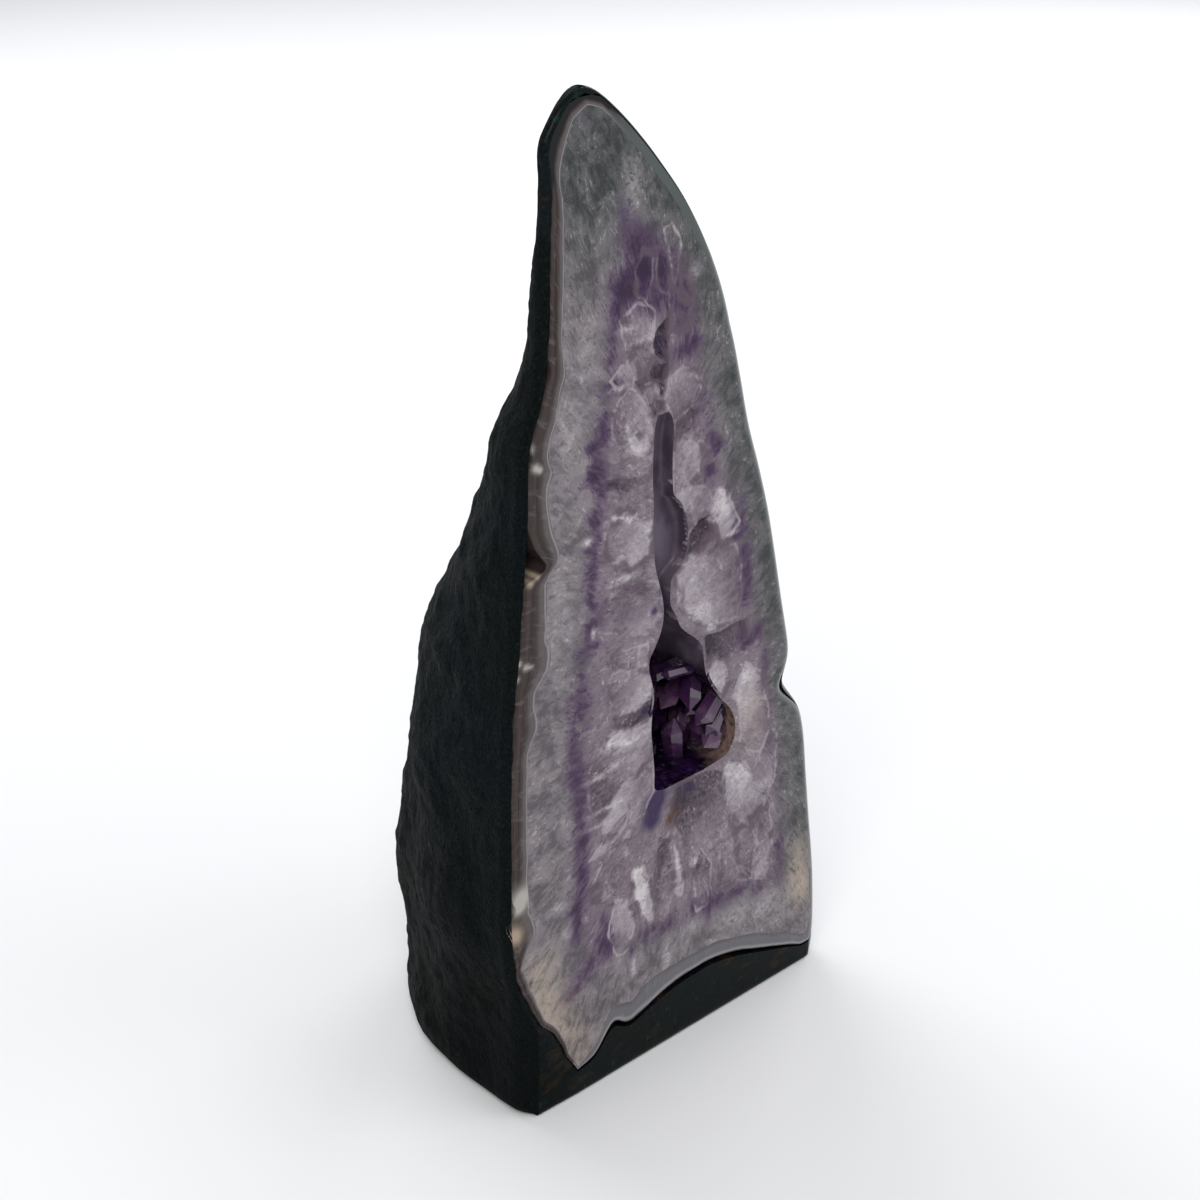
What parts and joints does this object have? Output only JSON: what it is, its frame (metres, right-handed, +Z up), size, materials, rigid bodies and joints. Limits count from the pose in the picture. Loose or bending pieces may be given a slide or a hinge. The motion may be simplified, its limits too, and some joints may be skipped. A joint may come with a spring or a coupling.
{
  "type": "amethyst geode",
  "caption": "Tall pointed amethyst geode that stands on a sawn foot, its front sawn flat and polished to show agate, quartz and a crystal-lined hollow.",
  "frame": {"origin": "middle of the stone's bounding box, on the plane of its sawn foot", "axes": "+Z up the height of the stone, the polished face looks along -Y, +X to the right of someone facing it"},
  "size_m": [0.1412, 0.0974, 0.3095],
  "materials": {
    "host_rock": "matte",
    "agate": "polished",
    "quartz": "polished",
    "amethyst": "gloss"
  },
  "bodies": {
    "root": {"basalt_rind": "host_rock", "agate_band": "agate", "quartz_lining": "quartz", "cavity_crystals": "amethyst"}
  },
  "joints": []
}
